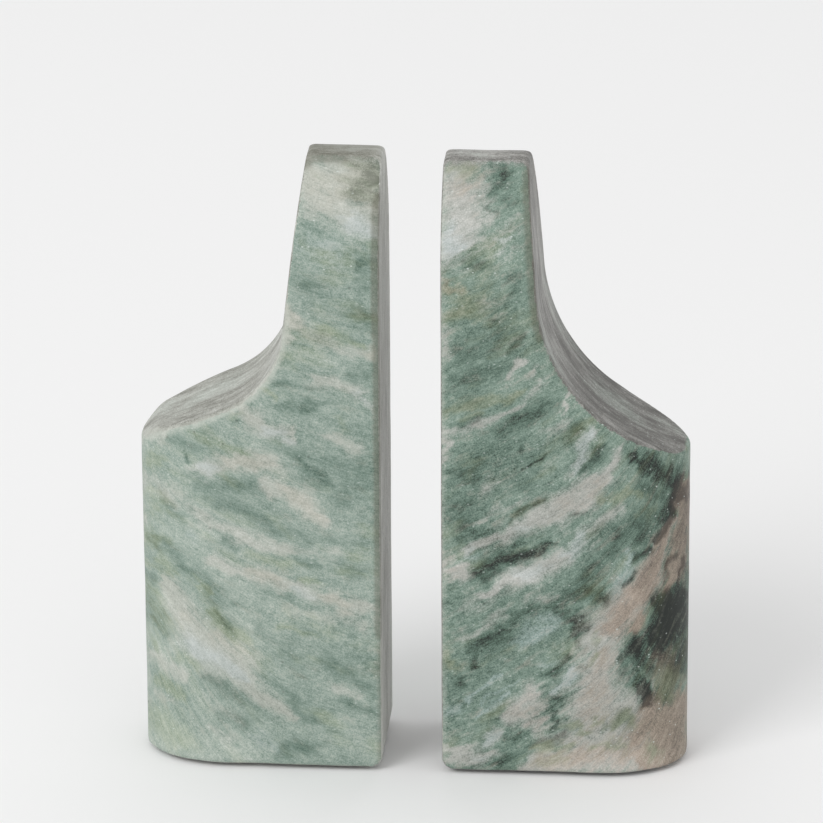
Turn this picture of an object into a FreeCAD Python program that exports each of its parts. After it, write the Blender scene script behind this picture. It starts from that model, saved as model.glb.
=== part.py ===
import FreeCAD, Part
import math
import os
import Sketcher
from FreeCAD import Placement, Rotation, Vector

# A pair of free-standing marble book ends on small felt discs.
#
# Frame: millimetres, +Z up, +X to the right, the origin on the table under the middle of the pair.
# Each block is drawn in its own frame: the flat book face is the plane x = 0, the block reaches
# outwards along +x, and the base is the plane z = 0. A block is symmetric front to back, so the
# left one is drawn the same way and turned half a turn about Z.

SHARED_SIZES = [
    # alias, size, what it is
    ("block_width", 57.7, "book face to the outer end"),
    ("block_depth", 31.0, "front face to back face"),
    ("end_length", 20.0, "length of the half-elliptical outer end, seen from above"),
    ("arch_rise", 30.0, "rise of the half-elliptical top, seen from the side"),
    ("crown_flat", 4.0, "narrow flat left at the middle of both ellipses"),
    ("base_round", 3.0, "rounding at the foot of the book face"),
    ("top_round", 2.0, "rounding of the two top edges"),
    ("neck_round", 100.0, "long rounding of the slight bend in the neck"),
    ("crest_round", 8.0, "rounding where the shoulder drops to the outer end"),
    ("arris", 0.8, "eased edges"),
    ("book_gap", 14.0, "space between the two book faces at rest"),
    ("pad_thickness", 1.0, "height of a felt disc"),
    ("pad_diameter", 9.0, "diameter of a felt disc"),
    ("pad_inner", 9.0, "book face to the nearer discs' centres"),
    ("pad_outer", 42.0, "book face to the further discs' centres"),
    ("pad_side", 7.5, "middle plane to each disc's centre"),
]

# The two blocks are ground by hand, so their outlines differ by a millimetre or two.
BLOCK_SIZES = [
    # alias without its side, left size, right size, what it is
    ("height", 150.0, 149.4, "base to the top of the arch"),
    ("top_width", 17.5, 19.8, "neck width at the top"),
    ("bend_width", 19.5, 21.1, "neck width at the bend"),
    ("bend_height", 135.0, 134.5, "height of the bend"),
    ("swoop_width", 24.6, 24.1, "across to the corner that the swoop rounds"),
    ("swoop_height", 95.0, 94.8, "up to the corner that the swoop rounds"),
    ("swoop_radius", 24.0, 42.0, "radius of the hollow swoop"),
    ("crest_width", 53.8, 51.0, "across to the end of the sloping shoulder"),
    ("crest_height", 82.5, 81.4, "up to the end of the sloping shoulder"),
    ("wall_height", 78.7, 78.4, "height of the outer end"),
]

# The front view's corners, from the foot of the book face up over the top and down the swoop:
# the cells for across and up (none for zero), and the cell of the rounding, if there is one.
CORNERS = [
    ("", "", "base_round"),
    ("", "{side}_height", "top_round"),
    ("{side}_top_width", "{side}_height", "top_round"),
    ("{side}_bend_width", "{side}_bend_height", "neck_round"),
    ("{side}_swoop_width", "{side}_swoop_height", "{side}_swoop_radius"),
    ("{side}_crest_width", "{side}_crest_height", "crest_round"),
    ("block_width", "{side}_wall_height", ""),
    ("block_width", "", ""),
]

MARGIN = 5.0           # how far a cutting outline reaches past the stone
SHARP_ANGLE = 0.2      # radians between two faces from which their edge counts as sharp
CELL = "Sizes.{}"


def make_sheet(doc):
    """The driving dimensions, one row each: a note, and the value with its alias."""
    rows = list(SHARED_SIZES)
    for name, left_size, right_size, note in BLOCK_SIZES:
        rows.append(("left_" + name, left_size, note))
        rows.append(("right_" + name, right_size, note))
    sheet = doc.addObject("Spreadsheet::Sheet", "Sizes")
    for row, (alias, value, note) in enumerate(rows, start=1):
        sheet.set(f"A{row}", note)
        sheet.set(f"B{row}", str(value))
        sheet.setAlias(f"B{row}", alias)
    doc.recompute()
    return sheet


def new_sketch(body, name, role):
    """An empty sketch on one of the body's own origin planes."""
    plane = next(item for item in body.Origin.OriginFeatures if item.Role == role)
    sketch = body.newObject("Sketcher::SketchObject", name)
    sketch.AttachmentSupport = [(plane, "")]
    sketch.MapMode = "FlatFace"
    return sketch


def bind(sketch, kind, references, value, expression):
    """Adds a dimension to the sketch and drives it from the sheet."""
    index = sketch.addConstraint(Sketcher.Constraint(kind, *references, value))
    sketch.setExpression(f"Constraints[{index}]", expression)


def draw_block_outline(body, sheet, side):
    """The front view: flat book face, neck, hollow swoop, sloping shoulder and outer end."""

    def value(cell):
        return getattr(sheet, cell) if cell else 0.0

    corners = [tuple(cell.format(side=side) for cell in corner) for corner in CORNERS]
    points = [Vector(value(across), value(up), 0) for across, up, _ in corners]
    count = len(points)
    sketch = new_sketch(body, f"{side}_outline", "XZ_Plane")
    for index in range(count):
        sketch.addGeometry(Part.LineSegment(points[index], points[(index + 1) % count]))
    for index in range(count):
        sketch.addConstraint(Sketcher.Constraint("Coincident", index, 2, (index + 1) % count, 1))
    for index, (across, up, _) in enumerate(corners):
        if across:
            bind(sketch, "DistanceX", (-1, 1, index, 1), value(across), CELL.format(across))
        else:
            sketch.addConstraint(Sketcher.Constraint("PointOnObject", index, 1, -2))
        if up:
            bind(sketch, "DistanceY", (-1, 1, index, 1), value(up), CELL.format(up))
        else:
            sketch.addConstraint(Sketcher.Constraint("PointOnObject", index, 1, -1))
    for index, (_, _, rounding) in enumerate(corners):
        if rounding:
            arc = sketch.GeometryCount
            sketch.fillet((index - 1) % count, 2, value(rounding), True, True)
            bind(sketch, "Radius", (arc,), value(rounding), CELL.format(rounding))
    return sketch


def draw_end_waste(body, sheet, name, role, length_cell, end_cell):
    """What is cut away round a half-elliptical end: a C shape that hugs the ellipse.

    The end points along x on the XY plane and along the sketch's y on the YZ plane. length_cell
    is how far the stone reaches from the origin, and end_cell how much of that is the ellipse.
    """
    plan = role == "XY_Plane"

    def point(along, across):
        return Vector(along, across, 0) if plan else Vector(-across, along, 0)

    distance_along = "DistanceX" if plan else "DistanceY"
    line_along, line_across = ("Horizontal", "Vertical") if plan else ("Vertical", "Horizontal")
    axis_along = -1 if plan else -2

    half_depth = sheet.block_depth / 2
    end = getattr(sheet, end_cell)
    centre = getattr(sheet, length_cell) - end
    reach = end / math.sqrt(1 - (sheet.crown_flat / sheet.block_depth) ** 2)
    centre_rule = f"Sizes.{length_cell} - Sizes.{end_cell}"
    reach_rule = f"Sizes.{end_cell} / sqrt(1 - (Sizes.crown_flat / Sizes.block_depth) ^ 2)"

    sketch = new_sketch(body, name, role)
    ellipse = Part.Ellipse(point(centre + reach, 0), point(centre, half_depth), point(centre, 0))
    arc = sketch.addGeometry(Part.ArcOfEllipse(ellipse, -math.pi / 2, math.pi / 2))
    far = centre + reach + MARGIN
    wide = half_depth + MARGIN
    route = [
        point(centre, half_depth),
        point(centre, wide),
        point(far, wide),
        point(far, -wide),
        point(centre, -wide),
        point(centre, -half_depth),
    ]
    lines = [sketch.addGeometry(Part.LineSegment(*ends)) for ends in zip(route, route[1:])]
    chain = [arc] + lines
    for first, second in zip(chain, chain[1:] + chain[:1]):
        sketch.addConstraint(Sketcher.Constraint("Coincident", first, 2, second, 1))
    for number, line in enumerate(lines):
        direction = line_along if number % 2 else line_across
        sketch.addConstraint(Sketcher.Constraint(direction, line))

    sketch.exposeInternalGeometry(arc)
    long_axis = lines[-1] + 1
    short_axis = lines[-1] + 2
    sketch.addConstraint(Sketcher.Constraint(line_along, long_axis))
    sketch.addConstraint(Sketcher.Constraint("PointOnObject", arc, 3, axis_along))
    sketch.addConstraint(Sketcher.Constraint(line_across, arc, 1, arc, 3))
    bind(sketch, distance_along, (-1, 1, arc, 3), centre, centre_rule)
    bind(sketch, "Distance", (long_axis,), 2 * reach, f"2 * {reach_rule}")
    bind(sketch, "Distance", (short_axis,), 2 * half_depth, "Sizes.block_depth")
    bind(sketch, "Distance", (lines[0],), MARGIN, str(MARGIN))
    bind(sketch, "Distance", (lines[4],), MARGIN, str(MARGIN))
    bind(sketch, distance_along, (arc, 3, lines[1], 2), reach + MARGIN, f"{reach_rule} + {MARGIN}")
    return sketch


def cut_through(body, sketch, name):
    """Cuts the sketch's outline right through the body, both ways from its plane."""
    before = body.Shape.Volume
    pocket = body.newObject("PartDesign::Pocket", name)
    pocket.Profile = sketch
    pocket.Type = "ThroughAll"
    pocket.Midplane = True
    sketch.Document.recompute()
    if not pocket.Shape.Volume < before:
        raise RuntimeError(f"{name} cuts nothing")
    return pocket


def sharp_edges(shape):
    """The names of the edges where two faces meet at a clear angle."""
    names = []
    for number, edge in enumerate(shape.Edges, start=1):
        faces = shape.ancestorsOfType(edge, Part.Face)
        if len(faces) != 2:
            continue
        middle = edge.valueAt((edge.FirstParameter + edge.LastParameter) / 2)
        normals = [face.normalAt(*face.Surface.parameter(middle)) for face in faces]
        if normals[0].getAngle(normals[1]) > SHARP_ANGLE:
            names.append(f"Edge{number}")
    return names


def make_block(doc, sheet, side):
    """One solid block of stone, in place beside the book space."""
    body = doc.addObject("PartDesign::Body", f"{side}_block")
    body.Label = f"{side}_block"
    slab = body.newObject("PartDesign::Pad", f"{side}_slab")
    slab.Profile = draw_block_outline(body, sheet, side)
    slab.Midplane = True
    slab.setExpression("Length", "Sizes.block_depth")
    doc.recompute()

    end_waste = draw_end_waste(body, sheet, f"{side}_end_waste", "XY_Plane", "block_width", "end_length")
    cut_through(body, end_waste, f"{side}_end")
    arch_waste = draw_end_waste(body, sheet, f"{side}_arch_waste", "YZ_Plane", f"{side}_height", "arch_rise")
    arch = cut_through(body, arch_waste, f"{side}_arch")

    eased = body.newObject("PartDesign::Fillet", f"{side}_eased")
    eased.Base = (arch, sharp_edges(arch.Shape))
    eased.setExpression("Radius", "Sizes.arris")
    body.Tip = eased

    outwards = 1 if side == "right" else -1
    turn = 0 if side == "right" else 180
    body.Placement = Placement(Vector(), Rotation(Vector(0, 0, 1), turn))
    body.setExpression("Placement.Base.x", f"{outwards} * Sizes.book_gap / 2")
    body.setExpression("Placement.Base.z", "Sizes.pad_thickness")
    return body


def make_pads(doc, side):
    """Four felt discs under one block, near its corners."""
    outwards = 1 if side == "right" else -1
    pads = []
    for row in ("inner", "outer"):
        for place, way in (("front", -1), ("back", 1)):
            name = f"{side}_pad_{row}_{place}"
            pad = doc.addObject("Part::Cylinder", name)
            pad.Label = name
            pad.setExpression("Radius", "Sizes.pad_diameter / 2")
            pad.setExpression("Height", "Sizes.pad_thickness")
            pad.setExpression("Placement.Base.x", f"{outwards} * (Sizes.book_gap / 2 + Sizes.pad_{row})")
            pad.setExpression("Placement.Base.y", f"{way} * Sizes.pad_side")
            pads.append(pad)
    return pads


def check_document(doc, pieces):
    """Stops before anything is written if an object failed or a piece isn't one valid solid."""
    for item in doc.Objects:
        if {"Invalid", "Error"} & set(item.State):
            raise RuntimeError(f"{item.Name} failed: {item.State}")
    for piece in pieces:
        shape = piece.Shape
        if shape.isNull() or not shape.isValid() or len(shape.Solids) != 1:
            raise RuntimeError(f"{piece.Label} isn't one valid solid")


def write_pieces(pieces):
    os.makedirs("parts", exist_ok=True)
    for piece in pieces:
        piece.Shape.exportStep(f"parts/{piece.Label}.step")
        box = piece.Shape.BoundBox
        print(
            f"{piece.Label}: {piece.Shape.Volume:.0f} mm3,"
            f" x {box.XMin:.2f} to {box.XMax:.2f},"
            f" y {box.YMin:.2f} to {box.YMax:.2f},"
            f" z {box.ZMin:.2f} to {box.ZMax:.2f}"
        )


def main():
    doc = FreeCAD.newDocument("BookEnds")
    sheet = make_sheet(doc)
    pieces = []
    for side in ("left", "right"):
        pieces.append(make_block(doc, sheet, side))
        pieces.extend(make_pads(doc, side))
    doc.recompute()
    check_document(doc, pieces)
    write_pieces(pieces)


main()
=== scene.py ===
import math

import bpy
import numpy as np
from mathutils import Euler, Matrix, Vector, noise


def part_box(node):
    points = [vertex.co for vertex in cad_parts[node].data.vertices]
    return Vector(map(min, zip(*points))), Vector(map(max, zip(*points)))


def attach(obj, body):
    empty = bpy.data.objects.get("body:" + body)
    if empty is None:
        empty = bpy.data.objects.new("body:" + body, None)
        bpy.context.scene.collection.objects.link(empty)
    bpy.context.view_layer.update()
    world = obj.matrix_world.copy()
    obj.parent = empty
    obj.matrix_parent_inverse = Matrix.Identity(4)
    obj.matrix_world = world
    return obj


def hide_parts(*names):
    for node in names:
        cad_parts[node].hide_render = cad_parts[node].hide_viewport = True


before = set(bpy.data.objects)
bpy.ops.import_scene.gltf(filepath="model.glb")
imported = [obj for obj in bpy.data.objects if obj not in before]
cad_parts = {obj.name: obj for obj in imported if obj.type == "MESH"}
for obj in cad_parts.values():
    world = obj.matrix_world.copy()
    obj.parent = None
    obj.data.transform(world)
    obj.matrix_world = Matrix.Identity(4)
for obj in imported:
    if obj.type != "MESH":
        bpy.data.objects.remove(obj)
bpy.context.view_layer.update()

# A pair of honed green marble book ends on felt discs. The stone's shape is worked out here in
# millimetres in each block's own frame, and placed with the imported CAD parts: u runs outwards
# from the flat book face, y from front to back and z up from the base. Blender gets metres.

MM = 0.001
SIDES = ("left", "right")
BODIES = {"left": "left_book_end", "right": "right_book_end"}

# The front view's corners (u, z) and the radii that round them. The width, the height and the
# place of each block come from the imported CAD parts.
BASE_ROUND = 3.0
TOP_ROUND = 2.0
NECK_ROUND = 100.0
CREST_ROUND = 8.0
END_ROUND = 1.0
NECK_AND_SHOULDER = {
    # top width, bend (u, z), swoop corner (u, z), swoop radius, crest (u, z), outer end's height
    "left": (17.5, (19.5, 135.0), (24.6, 95.0), 24.0, (53.8, 82.5), 78.7),
    "right": (19.8, (21.1, 134.5), (24.1, 94.8), 42.0, (51.0, 81.4), 78.4),
}
END_LENGTH = 20.0       # half-elliptical outer end, seen from above
ARCH_RISE = 30.0        # half-elliptical top, seen from the side
CROWN_FLAT = 4.0        # narrow flat left at the middle of both ellipses

VOXEL = 0.6             # size of the stone mesh's faces
ARRIS = 0.85            # mean radius of the eased edges
ARRIS_SPREAD = 0.35     # how much that radius wanders
ARRIS_LENGTH = 7.0
HONING_DEPTH = 0.12     # hand-honed hollows in the flat faces
HONING_LENGTH = 16.0
SETTLING = 4            # times that the mesh is drawn onto the stone's surface

# Where the smooth noise of each pattern starts.
SEEDS = {
    "left": {"arris": 1, "honing": 5, "pattern": 20, "fray": 25},
    "right": {"arris": 2, "honing": 6, "pattern": 30, "fray": 35},
}


# ------------------------------ stone shape

def block_size(side):
    """Width, depth and height of a stone block in millimetres, and where it stands."""
    low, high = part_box(f"{side}_block")
    size = (high - low) / MM
    inner = (high.x if side == "left" else low.x) / MM
    return size, inner, low.z / MM


def to_block(points, side):
    """Scene metres to the block's own millimetres."""
    _, inner, base = block_size(side)
    outwards = -1 if side == "left" else 1
    local = points / MM
    local[:, 0] = (local[:, 0] - inner) * outwards
    local[:, 2] -= base
    return local


def to_scene(local, side):
    """The block's own millimetres to scene metres."""
    _, inner, base = block_size(side)
    outwards = -1 if side == "left" else 1
    points = local.copy()
    points[:, 0] = points[:, 0] * outwards + inner
    points[:, 2] += base
    return points * MM


def rounded_outline(corners, step=0.05):
    """A closed outline with its corners rounded by arcs. step is an arc's angle per point."""
    outline = []
    count = len(corners)
    for index, (corner, radius) in enumerate(corners):
        here = np.array(corner, float)
        before = np.array(corners[index - 1][0], float) - here
        after = np.array(corners[(index + 1) % count][0], float) - here
        before /= np.linalg.norm(before)
        after /= np.linalg.norm(after)
        opening = math.acos(float(np.clip(before @ after, -1, 1)))
        tangent = radius / math.tan(opening / 2)
        start = here + before * tangent
        end = here + after * tangent
        middle = (before + after) / np.linalg.norm(before + after)
        centre = here + middle * radius / math.sin(opening / 2)
        first = math.atan2(*(start - centre)[::-1])
        turn = math.atan2(*(end - centre)[::-1]) - first
        turn = (turn + math.pi) % (2 * math.pi) - math.pi
        for share in np.linspace(0, 1, max(2, math.ceil(abs(turn) / step) + 1)):
            angle = first + turn * share
            outline.append(centre + radius * np.array([math.cos(angle), math.sin(angle)]))
    return np.array(outline)


def front_outline(side):
    """The block's front view as a closed outline in (u, z)."""
    size, _, _ = block_size(side)
    top_width, bend, swoop, swoop_radius, crest, wall = NECK_AND_SHOULDER[side]
    return rounded_outline([
        ((0, 0), BASE_ROUND),
        ((0, size.z), TOP_ROUND),
        ((top_width, size.z), TOP_ROUND),
        (bend, NECK_ROUND),
        (swoop, swoop_radius),
        (crest, CREST_ROUND),
        ((size.x, wall), END_ROUND),
        ((size.x, 0), END_ROUND),
    ])


def outline_distance(points, outline, batch=4000):
    """Signed distance (negative inside) and outward direction from an outline, for (u, z) rows."""
    start = outline
    along = np.roll(outline, -1, axis=0) - outline
    length = (along ** 2).sum(1)
    keep = length > 1e-12
    start, along, length = start[keep], along[keep], length[keep]
    distance = np.empty(len(points))
    direction = np.empty((len(points), 2))
    for first in range(0, len(points), batch):
        part = points[first:first + batch]
        offset = part[:, None, :] - start[None]
        share = np.clip((offset * along[None]).sum(2) / length[None], 0, 1)
        gap = offset - share[..., None] * along[None]
        reach = (gap ** 2).sum(2)
        nearest = reach.argmin(1)
        rows = np.arange(len(part))
        span = along[nearest]
        normal = np.c_[-span[:, 1], span[:, 0]] / np.sqrt(length[nearest])[:, None]
        chosen = gap[rows, nearest]
        sign = np.where((chosen * normal).sum(1) >= 0, 1.0, -1.0)
        size = np.sqrt(reach[rows, nearest])
        distance[first:first + batch] = sign * size
        clear = size > 1e-6
        unit = np.where(clear[:, None], chosen * (sign / np.maximum(size, 1e-6))[:, None], normal)
        direction[first:first + batch] = unit
    return distance, direction


def face_distance(local, side):
    """First-order distance to the front and back faces with their elliptical top and end."""
    size, _, _ = block_size(side)
    half = size.y / 2
    stretch = math.sqrt(1 - (CROWN_FLAT / size.y) ** 2)
    reaches = (END_LENGTH / stretch, ARCH_RISE / stretch)
    ends = (size.x - END_LENGTH, size.z - ARCH_RISE)
    past_end = np.maximum(local[:, 0] - ends[0], 0) / reaches[0]
    past_arch = np.maximum(local[:, 2] - ends[1], 0) / reaches[1]
    across = local[:, 1] / half
    level = np.sqrt(past_end ** 2 + past_arch ** 2 + across ** 2)
    level = np.maximum(level, 1e-6)
    slope = np.c_[past_end / reaches[0], across / half, past_arch / reaches[1]] / level[:, None]
    steep = np.maximum(np.linalg.norm(slope, axis=1), 1e-6)
    return (level - 1) / steep, slope / steep[:, None]


def drift(local, length, seed):
    """Smooth noise in -1 to 1, one value per point, with features of about that length."""
    shift = Vector((seed * 17.3, seed * 5.9, seed * 11.7))
    return np.array([noise.noise(Vector(point) / length + shift) for point in local])


def stone_surface(local, side, outline, radius, hollow):
    """The stone's level set: its value in millimetres and its direction at each point."""
    rim, rim_way = outline_distance(local[:, [0, 2]], outline)
    face, face_way = face_distance(local, side)
    rim_way = np.c_[rim_way[:, 0], np.zeros(len(local)), rim_way[:, 1]]
    rim_in = np.maximum(rim + radius, 0)
    face_in = np.maximum(face + radius, 0)
    corner = np.hypot(rim_in, face_in)
    value = np.minimum(np.maximum(rim, face) + radius, 0) + corner - radius + hollow
    round_way = rim_in[:, None] * rim_way + face_in[:, None] * face_way
    flat_way = np.where((rim > face)[:, None], rim_way, face_way)
    way = np.where((corner > 1e-9)[:, None], round_way, flat_way)
    way /= np.maximum(np.linalg.norm(way, axis=1), 1e-9)[:, None]
    return value, way, rim, face


def even_mesh(name, node):
    """An even quad mesh over a CAD part."""
    obj = bpy.data.objects.new(name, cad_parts[node].data.copy())
    bpy.context.scene.collection.objects.link(obj)
    remesh = obj.modifiers.new("even", "REMESH")
    remesh.mode = "VOXEL"
    remesh.voxel_size = VOXEL * MM
    depsgraph = bpy.context.evaluated_depsgraph_get()
    even = bpy.data.meshes.new_from_object(obj.evaluated_get(depsgraph))
    obj.modifiers.clear()
    obj.data = even
    even.name = name
    even.materials.clear()
    return obj


def shade_smooth(mesh):
    for polygon in mesh.polygons:
        polygon.use_smooth = True


def make_block(side):
    """One stone block: an even mesh drawn onto the stone's hand-eased, gently hollowed surface."""
    obj = even_mesh(f"{side}_marble_block", f"{side}_block")
    mesh = obj.data
    points = np.empty(len(mesh.vertices) * 3)
    mesh.vertices.foreach_get("co", points)
    local = to_block(points.reshape(-1, 3), side)
    seeds = SEEDS[side]
    outline = front_outline(side)
    softer = SOFT_RIDGE * stroke_mask(local[:, [0, 2]], SOFT_RIDGES[side])
    radius = ARRIS + ARRIS_SPREAD * drift(local, ARRIS_LENGTH, seeds["arris"]) + softer
    hollow = HONING_DEPTH * (0.5 + 0.5 * drift(local, HONING_LENGTH, seeds["honing"]))
    for _ in range(SETTLING):
        value, way, _, _ = stone_surface(local, side, outline, radius, hollow)
        local -= np.clip(value, -VOXEL, VOXEL)[:, None] * way
    _, way, rim, face = stone_surface(local, side, outline, radius, hollow)
    mesh.vertices.foreach_set("co", to_scene(local, side).ravel())
    mesh.update()
    shade_smooth(mesh)
    paint_block(mesh, side, local, way, rim, face)
    mesh.materials.append(stone_material(side))
    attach(obj, BODIES[side])
    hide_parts(f"{side}_block")


# ------------------------------ stone pattern

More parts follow.
